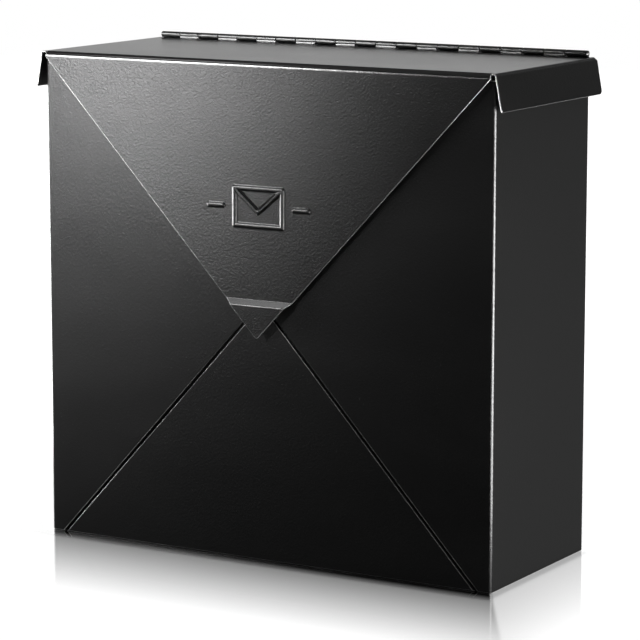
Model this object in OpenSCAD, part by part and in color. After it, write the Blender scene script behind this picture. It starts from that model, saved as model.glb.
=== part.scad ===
// Wall mounted mailbox of folded sheet steel, shaped like a closed envelope.
// X runs to the right, Y towards the wall, Z up. The origin is the middle of the underside.

/* [Body] */
// Outside width of the body
body_w = 320; // [260:1:400]
// Outside depth of the body
body_d = 125; // [100:1:180]
// Height of the body's top rim
body_h = 307; // [270:1:380]
// Thickness of every folded sheet
sheet_t = 1.0; // [0.8:0.1:1.2]
// Outside radius of the lid's folds
lid_fold_r = 2.2; // [1.6:0.1:2.4]
// Outside radius of the body's and the floor's folds
body_fold_r = 1.6; // [1.4:0.1:2]
// Width of the safety return round the top rim
rim_w = 9; // [8:0.5:14]
// Width of the upright returns at the back
back_return_w = 12; // [10:0.5:18]
// Height of the turned-up edges of the floor
pan_flange_h = 12; // [8:0.5:20]
// Diameter of the drain holes in the floor
drain_d = 5; // [3:0.5:8]
// Distance of the drain holes from the sides
drain_inset = 30; // [20:1:50]

/* [Front grooves] */
// Width of the two pressed lines on the front
groove_w = 2.4; // [1.6:0.1:3.2]
// Depth of the pressed lines
groove_depth = 0.7; // [0.4:0.1:0.7]
// Distance from the body's corner to a line's foot
groove_inset = 10.4; // [8:0.2:20]
// Height at which the two lines meet
groove_apex_z = 162; // [150:1:180]

/* [Lid] */
// Gap between the top rim and the underside of the lid
lid_gap = 1.8; // [1.5:0.1:3]
// Gap between the body's sides and the lid, at the fold
lid_side_gap = 0.8; // [0.6:0.1:2]
// Gap between the front and the flap
lid_front_gap = 2.2; // [1.8:0.1:4]
// Gap between the body's back and the lid's rear flange
lid_back_gap = 0.8; // [0.6:0.1:2]
// Height of the side skirts
skirt_h = 22.5; // [18:0.5:26]
// Outward splay of the skirts
skirt_splay = 10.5; // [4:0.5:14]
// Radius of the skirts' lower corners
skirt_corner_r = 3; // [1:0.5:5]
// Radius of the lid's rear corners
lid_corner_r = 2.1; // [1:0.1:2.5]
// Clearance of the lid's four corner ears
ear_gap = 0.5; // [0.4:0.1:1]
// Depth of the flange inside the hinge
rear_flange_h = 14; // [12:0.5:17]

/* [Flap] */
// Height of the flap's sharp corner
flap_apex_z = 139.8; // [120:0.2:150]
// Radius that blunts the flap's corner
flap_apex_r = 1.5; // [0.8:0.1:4]
// Cut-back of the flap at the lid's front corners
flap_relief = 4; // [3:0.5:9]
// Height at which the finger pull starts to step out
pull_z = 164; // [156:1:175]
// How far the finger pull stands out
pull_out = 3.2; // [2.8:0.1:6]
// Height of the sloping step above the finger pull
pull_step_h = 3.4; // [2.6:0.1:7]

/* [Raised sign] */
// Height of the sign's middle
sign_z = 221; // [212:1:240]
// Width of the envelope sign
sign_w = 38; // [32:1:44]
// Height of the envelope sign
sign_h = 27; // [22:1:30]
// Length of the bar on each side of the envelope
sign_bar = 10; // [6:1:12]
// Gap between the envelope and a bar
sign_gap = 6.5; // [5:0.5:8]
// Width of the raised strokes
stroke_w = 4; // [3:0.1:5]
// Height of the raised strokes
stroke_h = 0.9; // [0.5:0.1:1.2]

/* [Hinge] */
// Distance of the hinge's ends from the lid's side folds
hinge_inset = 4.8; // [4.5:0.1:8]
// Height of the barrel above the lid's top
hinge_lift = 0.1; // [0:0.05:0.6]
// Number of knuckles
knuckle_n = 21; // [15:2:27]
// Gap between neighbouring knuckles
knuckle_gap = 0.3; // [0.2:0.05:0.5]
// Thickness of the hinge leaves
leaf_t = 0.8; // [0.6:0.1:1]
// Diameter of the hinge pin
pin_d = 2.3; // [2:0.1:3]
// Radial running clearance of the pin
pin_clear = 0.05; // [0.02:0.01:0.1]
// Depth of the lid leaf below the lid's top
lid_leaf_h = 13; // [12:0.5:14]
// Depth of the body leaf below the lid's top
body_leaf_h = 15; // [13:0.5:17]

/* [Rivets] */
// Shank diameter of the rivets
rivet_d = 3.2; // [2.4:0.1:4]
// Clearance round the shanks
rivet_clear = 0.05; // [0.02:0.01:0.1]
// Diameter of the rivet heads
rivet_head_d = 6.4; // [5:0.1:7]
// Thickness of the rivet heads
rivet_head_h = 0.8; // [0.6:0.1:1]
// Diameter of the formed tails
rivet_tail_d = 4.8; // [4.2:0.1:5]
// Thickness of the formed tails
rivet_tail_h = 0.9; // [0.6:0.1:1]
// Spacing of the rivets along each leaf
rivet_pitch = 68; // [50:1:72]
// Depth of the rivets below the lid's top
rivet_drop = 8; // [7:0.5:9]

/* [Wall mounting] */
// Sideways spacing of the four mounting holes
hole_spacing_x = 240; // [160:1:250]
// Upright spacing of the four mounting holes
hole_spacing_z = 200; // [120:1:210]
// Height of the lower mounting holes
hole_z = 50; // [35:1:60]
// Diameter of the mounting holes
hole_d = 6; // [4:0.5:8]
// Radius of a boss where it leaves the back panel
boss_base_r = 16; // [14:0.5:20]
// Radius of a boss where it meets the wall
boss_face_r = 10; // [8:0.5:12]
// Gap between the rivet heads and the wall
wall_gap = 0.4; // [0.2:0.1:2]
// Gap from the top of the back panel's step to the lid's flange
step_gap = 4; // [3:0.5:8]

/* [Bumpers] */
// Diameter of the rubber bumpers
bumper_d = 6.5; // [5:0.5:7]
// Gap left under each bumper with the lid closed
bumper_gap = 0.3; // [0.2:0.05:0.5]
// Distance of the lid's bumpers from the sides
bumper_inset = 25; // [20:1:60]
// Height of the bumper behind the flap
flap_bumper_z = 190; // [180:1:210]

/* [Hidden] */
$fn = 64;
cut = 1;
black = "#191919";
steel = "#2a2a2c";
rubber = "#101010";
half_w = body_w / 2;
half_d = body_d / 2;
inner_r = lid_fold_r - sheet_t;
in_w = half_w - sheet_t;
in_d = half_d - sheet_t;
lid_top = body_h + lid_gap + sheet_t;
lid_under = lid_top - sheet_t;
lid_half = half_w + lid_side_gap + sheet_t;
lid_fold_x = lid_half - lid_fold_r;
lid_front = -half_d - lid_front_gap - sheet_t;
flange_back = half_d + lid_back_gap + sheet_t;
barrel_r = pin_d / 2 + pin_clear + leaf_t;
hinge_y = flange_back + barrel_r;
hinge_z = lid_top + hinge_lift + barrel_r;
hinge_len = 2 * (lid_half - hinge_inset);
knuckle_pitch = hinge_len / knuckle_n;
strip_front = hinge_y + barrel_r;
strip_back = strip_front + sheet_t;
wall_y = strip_back + rivet_head_h + wall_gap;
flap_half = lid_half - flap_relief;
swing_r = norm([barrel_r + sheet_t + rivet_head_h, rear_flange_h + hinge_lift + barrel_r]);
swing_low = hinge_z - swing_r - step_gap;
step_rise = strip_front - half_d;
main_top = swing_low - step_rise;
side_rim_end = hinge_y - swing_r - ear_gap;
groove_foot_x = half_w - groove_inset;
rivet_z = lid_top - rivet_drop;
bumper_h = lid_gap - bumper_gap;
flap_bumper_h = lid_front_gap - bumper_gap;

// A flat outline given in Y and Z, drawn out along X and centred on x = 0
module along_x(length) {
    translate([-length / 2, 0, 0]) rotate([90, 0, 90]) linear_extrude(length) children();
}

// A flat outline given in X and Z, drawn out along Y between two places
module along_y(y0, y1) {
    translate([0, y1, 0]) rotate([90, 0, 0]) linear_extrude(y1 - y0) children();
}

// A plate between two corners
module plate(low, high) {
    translate(low) cube(high - low);
}

// The same thing on both sides of the middle plane
module both_sides() {
    children();
    mirror([1, 0, 0]) children();
}

// Quarter of a fold in section: it bends from the left face down to the lower face
module fold2d(r) {
    translate([r, r]) intersection() {
        difference() {
            circle(r);
            circle(r - sheet_t);
        }
        translate([-r, -r]) square(r);
    }
}

// What a rounded corner takes away, with the circle's centre at the origin
module corner_cut2d(r) {
    difference() {
        square(r + cut);
        circle(r);
    }
}

// A rectangle with round corners, centred
module rounded_rect2d(w, d, r) {
    square([w - 2 * r, d], center = true);
    square([w, d - 2 * r], center = true);
    for (x = [-1, 1], y = [-1, 1]) translate([x * (w / 2 - r), y * (d / 2 - r)]) circle(r);
}

// A bar along a line of the front face, from one place (x, z) to another, with a given section
module along_front(from, to) {
    run = to - from;
    translate([from[0], -half_d, from[1]]) rotate([0, -atan2(run[1], run[0]), 0])
        translate([norm(run) / 2, 0, 0]) along_x(norm(run)) children();
}

// The outline that wraps the front, both sides and the returns at the back
module wrap2d() {
    difference() {
        rounded_rect2d(body_w, body_d, body_fold_r);
        rounded_rect2d(body_w - 2 * sheet_t, body_d - 2 * sheet_t, body_fold_r - sheet_t);
        translate([-half_w + back_return_w, 0]) square([body_w - 2 * back_return_w, body_d]);
    }
}

// The safety return of the top rim on the front
module front_rim() {
    reach = half_w - body_fold_r - sheet_t;
    inner = half_d - rim_w;
    translate([0, -half_d, body_h]) mirror([0, 0, 1]) along_x(2 * reach) fold2d(body_fold_r);
    translate([0, 0, body_h - sheet_t]) linear_extrude(sheet_t) polygon([
        [-reach, -half_d + body_fold_r], [reach, -half_d + body_fold_r],
        [reach - rim_w + body_fold_r, -inner], [-reach + rim_w - body_fold_r, -inner]]);
}

// The safety return of the top rim on the right side
module side_rim() {
    start = -half_d + body_fold_r + sheet_t;
    inner = half_w - rim_w;
    translate([half_w, 0, body_h]) mirror([1, 0, 0]) mirror([0, 0, 1])
        along_y(start, side_rim_end) fold2d(body_fold_r);
    translate([0, 0, body_h - sheet_t]) linear_extrude(sheet_t) polygon([
        [half_w - body_fold_r, start], [half_w - body_fold_r, side_rim_end],
        [inner, side_rim_end], [inner, start + rim_w - body_fold_r]]);
}

// One pressed line, cut from outside, with the ridge that it raises inside
module groove_cut() {
    along_front([groove_foot_x * (1 + groove_w / groove_apex_z), -groove_w], [0, groove_apex_z])
        polygon([[-cut, -groove_w / 2 - cut / 2], [0, -groove_w / 2], [groove_depth, -groove_w / 6],
                 [groove_depth, groove_w / 6], [0, groove_w / 2], [-cut, groove_w / 2 + cut / 2]]);
}
module groove_ridge() {
    intersection() {
        along_front([groove_foot_x, 0], [0, groove_apex_z])
            polygon([[sheet_t / 2, -groove_w / 2 - sheet_t / 2], [sheet_t, -groove_w / 2 - sheet_t / 2],
                     [sheet_t + groove_depth, -groove_w / 3], [sheet_t + groove_depth, groove_w / 3],
                     [sheet_t, groove_w / 2 + sheet_t / 2], [sheet_t / 2, groove_w / 2 + sheet_t / 2]]);
        plate([0, -half_d, 2 * sheet_t], [half_w, 0, body_h]);
    }
}

module front_and_sides() {
    color(black) difference() {
        union() {
            linear_extrude(body_h - body_fold_r) wrap2d();
            front_rim();
            both_sides() side_rim();
            both_sides() groove_ridge();
        }
        both_sides() groove_cut();
        plate([-half_w + body_fold_r, half_d - body_fold_r, main_top],
              [half_w - body_fold_r, half_d + cut, body_h]);
    }
}

// The back panel in section: a flat main part, a sloping step and the strip that holds the hinge
module back_section2d() {
    bend = sheet_t * tan(45 / 2);
    polygon([[half_d, sheet_t], [half_d + sheet_t, sheet_t], [half_d + sheet_t, main_top - bend],
             [strip_back, swing_low - bend], [strip_back, hinge_z - barrel_r],
             [strip_front, hinge_z - barrel_r], [strip_front, swing_low], [half_d, main_top]]);
}

// One of the four bosses that stand the box off the wall: solid outside, and its hollow
boss_slope = (boss_base_r - boss_face_r) / (wall_y - half_d - sheet_t);
boss_wall = sheet_t * sqrt(1 + boss_slope * boss_slope);
module boss_outside() {
    rotate([-90, 0, 0]) translate([0, 0, sheet_t])
        cylinder(h = wall_y - half_d - sheet_t, r1 = boss_base_r, r2 = boss_face_r);
}
module boss_hollow() {
    top = wall_y - half_d - sheet_t;
    rotate([-90, 0, 0]) cylinder(h = top, r1 = boss_base_r + sheet_t * boss_slope - boss_wall,
                                 r2 = boss_face_r + sheet_t * boss_slope - boss_wall);
    rotate([-90, 0, 0]) cylinder(h = top + sheet_t + cut, d = hole_d);
}
module at_bosses() {
    for (x = [-1, 1], z = [0, 1])
        translate([x * hole_spacing_x / 2, half_d, hole_z + z * hole_spacing_z]) children();
}

module back_panel() {
    color(black) difference() {
        union() {
            along_x(hinge_len) back_section2d();
            at_bosses() boss_outside();
        }
        at_bosses() boss_hollow();
        body_rivet_places() rivet_hole();
    }
}

// The floor is a shallow pan: its turned-up edges are welded to the front, the sides and the back
module pan_edge(length) {
    along_x(length) {
        fold2d(body_fold_r);
        translate([0, body_fold_r]) square([sheet_t, pan_flange_h - body_fold_r]);
    }
}
module floor_pan() {
    ridge_x = groove_foot_x * (1 - pan_flange_h / groove_apex_z) - groove_w - 2 * sheet_t;
    side_len = 2 * (in_d - body_fold_r - sheet_t);
    back_half = half_w - back_return_w - sheet_t;
    color(black) difference() {
        union() {
            plate([-in_w + body_fold_r, -in_d + body_fold_r, 0],
                  [in_w - body_fold_r, in_d - body_fold_r, sheet_t]);
            plate([-back_half, 0, 0], [back_half, half_d - body_fold_r, sheet_t]);
            both_sides() plate([ridge_x + ear_gap, -in_d, 0], [in_w - body_fold_r, 0, sheet_t]);
            both_sides() plate([half_w - back_return_w - ear_gap, 0, 0], [in_w - body_fold_r, in_d, sheet_t]);
            translate([0, -in_d, 0]) pan_edge(2 * ridge_x);
            translate([0, half_d, 0]) mirror([0, 1, 0]) pan_edge(2 * back_half);
            both_sides() translate([-in_w, 0, 0]) rotate([0, 0, -90]) pan_edge(side_len);
        }
        for (x = [-1, 1], y = [-1, 1])
            translate([x * (half_w - drain_inset), y * (half_d - drain_inset), -cut])
                cylinder(h = sheet_t + 2 * cut, d = drain_d);
    }
}

// The lid's side in section: the fold from the flat top into a splayed skirt
module skirt_section2d() {
    skirt_len = (skirt_h - lid_fold_r * (1 - sin(skirt_splay))) / cos(skirt_splay);
    translate([lid_fold_x, lid_top - lid_fold_r]) {
        intersection() {
            difference() {
                circle(lid_fold_r);
                circle(inner_r);
            }
            polygon([[0, 0], [2 * lid_fold_r * cos(skirt_splay), 2 * lid_fold_r * sin(skirt_splay)],
                     [2 * lid_fold_r, 2 * lid_fold_r], [0, 2 * lid_fold_r]]);
        }
        rotate(skirt_splay) translate([inner_r, -skirt_len]) square([sheet_t, skirt_len]);
    }
}
module skirt() {
    front = lid_front + ear_gap;
    low = lid_top - skirt_h;
    difference() {
        along_y(front, strip_back) skirt_section2d();
        translate([half_w, 0, 0]) along_x(body_w / 2) {
            translate([strip_back - skirt_corner_r, low + skirt_corner_r])
                mirror([0, 1]) corner_cut2d(skirt_corner_r);
            translate([strip_back - lid_corner_r, lid_top - lid_corner_r]) corner_cut2d(lid_corner_r);
        }
    }
}

// The flat top, with ears that reach past the flap and the hinge at its four corners
module lid_plate() {
    hinge_half = hinge_len / 2;
    difference() {
        plate([-lid_fold_x, lid_front + ear_gap, lid_under], [lid_fold_x, strip_back, lid_top]);
        plate([-flap_half - ear_gap, lid_front - cut, lid_under - cut],
              [flap_half + ear_gap, lid_front + lid_fold_r, lid_top + cut]);
        plate([-hinge_half - ear_gap, flange_back - lid_fold_r, lid_under - cut],
              [hinge_half + ear_gap, strip_back + cut, lid_top + cut]);
        both_sides() translate([lid_fold_x - lid_corner_r, strip_back - lid_corner_r, lid_under - cut])
            linear_extrude(sheet_t + 2 * cut) corner_cut2d(lid_corner_r);
    }
}

// The flap's section steps out above its corner to make room for a finger
module flap_section2d() {
    bend = sheet_t * tan(atan2(pull_out, pull_step_h) / 2);
    low = flap_apex_z - cut;
    outer = lid_front;
    inner = lid_front + sheet_t;
    polygon([[outer, lid_top - lid_fold_r], [outer, pull_z], [outer - pull_out, pull_z - pull_step_h],
             [outer - pull_out, low], [inner - pull_out, low],
             [inner - pull_out, pull_z - pull_step_h - bend], [inner, pull_z - bend],
             [inner, lid_top - lid_fold_r]]);
}
// The flap is cut straight while flat, so its outline pulls in where the step takes up length
module flap_outline2d() {
    high = lid_top - lid_fold_r;
    step_bottom = pull_z - pull_step_h;
    taken_up = norm([pull_out, pull_step_h]) - pull_step_h;
    taper = flap_half / (high - flap_apex_z + taken_up);
    half_angle = atan(taper);
    centre_z = flap_apex_z + flap_apex_r / sin(half_angle);
    right = [[flap_half, high], [flap_half - taper * (high - pull_z), pull_z],
             [taper * (step_bottom - flap_apex_z), step_bottom],
             [flap_apex_r * cos(half_angle), centre_z - flap_apex_r * sin(half_angle)]];
    left = [for (i = [len(right) - 1 : -1 : 0]) [-right[i][0], right[i][1]]];
    polygon(concat(right, left));
    translate([0, centre_z]) circle(flap_apex_r);
}
module flap() {
    intersection() {
        along_x(2 * flap_half) flap_section2d();
        along_y(lid_front - pull_out - cut, -half_d) flap_outline2d();
    }
}

// A raised stroke with round ends
module stroke2d(from, to, width) {
    run = to - from;
    translate(from) circle(d = width);
    translate(to) circle(d = width);
    translate(from) rotate(atan2(run[1], run[0])) translate([0, -width / 2]) square([norm(run), width]);
}
// The sign: a plain envelope between two short bars
module sign2d(width) {
    w = sign_w / 2 - stroke_w / 2;
    h = sign_h / 2 - stroke_w / 2;
    bar_x = sign_w / 2 + sign_gap;
    stroke2d([-w, -h], [w, -h], width);
    stroke2d([-w, h], [w, h], width);
    for (side = [-1, 1]) {
        stroke2d([side * w, -h], [side * w, h], width);
        stroke2d([side * w, h], [0, -h / 4], width);
        stroke2d([side * bar_x, 0], [side * (bar_x + sign_bar), 0], width);
    }
}

module lid() {
    hinge_half = hinge_len / 2;
    color(black) difference() {
        union() {
            lid_plate();
            both_sides() skirt();
            translate([0, lid_front, lid_top]) mirror([0, 0, 1]) along_x(2 * flap_half) fold2d(lid_fold_r);
            flap();
            translate([0, flange_back, lid_top]) mirror([0, 1, 0]) mirror([0, 0, 1])
                along_x(hinge_len) fold2d(lid_fold_r);
            plate([-hinge_half, flange_back - sheet_t, lid_top - rear_flange_h],
                  [hinge_half, flange_back, lid_top - lid_fold_r]);
            translate([0, 0, sign_z]) along_y(lid_front - stroke_h, lid_front) sign2d(stroke_w);
        }
        translate([0, 0, sign_z]) along_y(lid_front + sheet_t - stroke_h, lid_front + sheet_t + cut)
            sign2d(stroke_w - sheet_t);
        lid_rivet_places() rivet_hole();
    }
}

// Knuckles of one leaf: every second one, starting with the first or the second
module knuckles(first, length, r) {
    for (i = [first : 2 : knuckle_n - 1])
        translate([-hinge_len / 2 + (i + 0.5) * knuckle_pitch - length / 2, 0, 0])
            rotate([0, 90, 0]) cylinder(h = length, r = r);
}

// A leaf seen from the hinge axis: its plate hangs down on the far side in Y
module leaf(first, drop) {
    length = knuckle_pitch - knuckle_gap;
    leaf_y = barrel_r - leaf_t;
    top = -barrel_r - knuckle_gap;
    low = lid_top - drop - hinge_z;
    difference() {
        union() {
            plate([-hinge_len / 2, leaf_y, low], [hinge_len / 2, barrel_r, top]);
            knuckles(first, length, barrel_r);
            for (i = [first : 2 : knuckle_n - 1])
                translate([-hinge_len / 2 + (i + 0.5) * knuckle_pitch - length / 2, leaf_y, top])
                    cube([length, leaf_t, -top]);
        }
        translate([-hinge_len / 2 - cut, 0, 0]) rotate([0, 90, 0])
            cylinder(h = hinge_len + 2 * cut, r = barrel_r - leaf_t);
    }
}

module hinge_body_leaf() {
    color(steel) difference() {
        translate([0, hinge_y, hinge_z]) leaf(0, body_leaf_h);
        body_rivet_places() rivet_hole();
    }
}

module hinge_lid_leaf() {
    color(steel) difference() {
        translate([0, hinge_y, hinge_z]) mirror([0, 1, 0]) leaf(1, lid_leaf_h);
        lid_rivet_places() rivet_hole();
    }
}

module hinge_pin() {
    color(steel) translate([-hinge_len / 2, hinge_y, hinge_z]) rotate([0, 90, 0])
        cylinder(h = hinge_len, d = pin_d);
}

// Rivets: the head lies at local y = 0 and the shank runs along +Y through sheet and leaf
module rivet() {
    grip = sheet_t + leaf_t;
    rotate([-90, 0, 0]) {
        translate([0, 0, -rivet_head_h]) cylinder(h = rivet_head_h, d = rivet_head_d);
        cylinder(h = grip, d = rivet_d);
        translate([0, 0, grip]) cylinder(h = rivet_tail_h, d = rivet_tail_d);
    }
}
module rivet_hole() {
    rotate([-90, 0, 0]) translate([0, 0, -cut / 2])
        cylinder(h = sheet_t + leaf_t + cut, d = rivet_d + 2 * rivet_clear);
}
module lid_rivet_places() {
    for (i = [-2 : 2]) translate([i * rivet_pitch, flange_back - sheet_t, rivet_z]) children();
}
module body_rivet_places() {
    for (i = [-1.5 : 1.5]) translate([i * rivet_pitch, strip_back, rivet_z]) mirror([0, 1, 0]) children();
}

module lid_leaf_rivets() {
    color(steel) lid_rivet_places() rivet();
}

module body_leaf_rivets() {
    color(steel) body_rivet_places() rivet();
}

// Rubber dots under the lid's front corners, over the rim's return
module lid_bumpers() {
    y = -half_d + (body_fold_r + rim_w) / 2;
    color(rubber) for (x = [-1, 1])
        translate([x * (half_w - bumper_inset), y, lid_under - bumper_h]) cylinder(h = bumper_h, d = bumper_d);
}

// Rubber dot behind the flap
module flap_bumper() {
    color(rubber) translate([0, lid_front + sheet_t, flap_bumper_z]) rotate([-90, 0, 0])
        cylinder(h = flap_bumper_h, d = bumper_d);
}

front_and_sides();
back_panel();
floor_pan();
lid();
hinge_body_leaf();
hinge_lid_leaf();
hinge_pin();
body_leaf_rivets();
lid_leaf_rivets();
lid_bumpers();
flap_bumper();
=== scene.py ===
import math

import bmesh
import bpy
import numpy as np
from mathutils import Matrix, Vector
from mathutils.geometry import delaunay_2d_cdt


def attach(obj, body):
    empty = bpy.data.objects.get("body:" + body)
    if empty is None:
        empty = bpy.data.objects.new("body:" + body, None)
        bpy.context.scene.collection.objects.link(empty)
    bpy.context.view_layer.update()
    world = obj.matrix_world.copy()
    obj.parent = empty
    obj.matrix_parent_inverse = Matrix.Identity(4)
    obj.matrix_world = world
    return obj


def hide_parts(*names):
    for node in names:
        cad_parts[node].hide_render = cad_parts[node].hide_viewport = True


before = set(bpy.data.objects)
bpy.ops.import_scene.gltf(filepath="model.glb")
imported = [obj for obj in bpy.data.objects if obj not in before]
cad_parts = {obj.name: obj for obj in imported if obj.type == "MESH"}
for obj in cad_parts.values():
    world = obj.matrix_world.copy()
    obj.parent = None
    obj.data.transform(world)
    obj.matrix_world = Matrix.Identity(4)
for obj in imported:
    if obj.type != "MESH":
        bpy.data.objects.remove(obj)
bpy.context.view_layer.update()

mm = 0.001
print("frame loaded:", len(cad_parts), "nodes")


def inMm(**lengths):
    return {name: length * mm for name, length in lengths.items()}


# Folding sheet metal: each sheet is cut flat in u and v with its rounded edge, then bent by a section's path.
# The edge gain in stock is how strongly a rounded edge takes the painted edge highlight; onCut and sliver are
# tolerances of the cutting.
stock = {"thickness": 1 * mm, "edge": 0.45 * mm, "edgeHighlightGain": 1.4, "onCut": 2e-7, "sliver": 2e-6}
halfSheet = stock["thickness"] / 2


def linked(name, data):
    made = bpy.data.objects.new(name, data)
    bpy.context.scene.collection.objects.link(made)
    return made


# A smooth object in the scene from a finished bmesh
def objectFrom(mesh, name):
    for f in mesh.faces:
        f.smooth = True
    made = bpy.data.meshes.new(name)
    mesh.to_mesh(made)
    mesh.free()
    return linked(name, made)


def turned(direction, angle):
    c, s = math.cos(angle), math.sin(angle)
    return Vector((direction.x * c - direction.y * s, direction.x * s + direction.y * c))


# Directions round a circle
def clockwise(steps):
    return [turned(Vector((1, 0)), -2 * math.pi * k / steps) for k in range(steps)]


# Corners (u, v, radius) counter-clockwise round the sheet, as points with the direction out of the sheet
def roundedOutline(corners, arcStep=math.radians(12)):
    points = []
    for i, (u, v, radius) in enumerate(corners):
        here = Vector((u, v))
        before = (here - Vector(corners[i - 1][:2])).normalized()
        after = (Vector(corners[(i + 1) % len(corners)][:2]) - here).normalized()
        turn = math.atan2(before.cross(after), before.dot(after))
        side = 1 if turn > 0 else -1
        start = here - before * radius * math.tan(abs(turn) / 2)
        out = Vector((before.y, -before.x))
        centre = start - out * radius * side
        steps = max(2, math.ceil(abs(turn) / arcStep))
        for k in range(steps + 1):
            way = turned(out, turn * k / steps)
            points.append((centre + way * radius * side, way))
    return points


def roundHole(u, v, radius, steps=28):
    return [(Vector((u, v)) + way * radius, -way) for way in clockwise(steps)]


# A bent line in section, from its middle outwards: straight runs and turns towards the inside of the fold
class FoldPath:
    def __init__(self, legs, height=0.0, step=math.radians(10)):
        self.legs, self.cuts = [], []
        place, angle, length = Vector((0.0, height)), 0.0, 0.0
        for straight, radius, turn in legs:
            self.legs.append((length, place.copy(), angle, radius, turn))
            if turn:
                arc = radius * abs(turn)
                parts = max(2, math.ceil(abs(turn) / step))
                self.cuts += [length + arc * k / parts for k in range(parts + 1)]
                place += self.along(angle, radius, turn)
                angle += turn
                length += arc
            else:
                place += Vector((math.cos(angle), -math.sin(angle))) * straight
                length += straight
        self.length = length

    def along(self, angle, radius, turn):
        side = 1 if turn > 0 else -1
        inward = Vector((-math.sin(angle), -math.cos(angle))) * side
        later = Vector((-math.sin(angle + turn), -math.cos(angle + turn))) * side
        return (inward - later) * radius

    # The place at a length along the sheet, and how far the sheet has turned there
    def at(self, length):
        for start, place, angle, radius, turn in reversed(self.legs):
            if length >= start - 1e-9 or start == 0.0:
                break
        walked = length - start
        if turn:
            part = max(0.0, min(abs(turn), walked / radius)) * (1 if turn > 0 else -1)
            return place + self.along(angle, radius, part), angle + part
        return place + Vector((math.cos(angle), -math.sin(angle))) * walked, angle


def run(length):
    return (length, 0.0, 0.0)


def bend(radius, degrees):
    return (0.0, radius, math.radians(degrees))


# Whether a closed loop of vertices goes round a point of the sheet
def encloses(loop, point):
    u, v = np.array([vert.co[:2] for vert in loop]).T
    nextU, nextV = np.roll(u, -1), np.roll(v, -1)
    crossed = (v > point.y) != (nextV > point.y)
    part = (point.y - v[crossed]) / (nextV[crossed] - v[crossed])
    reach = u[crossed] + part * (nextU[crossed] - u[crossed])
    return np.count_nonzero(reach > point.x) % 2 == 1


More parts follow.
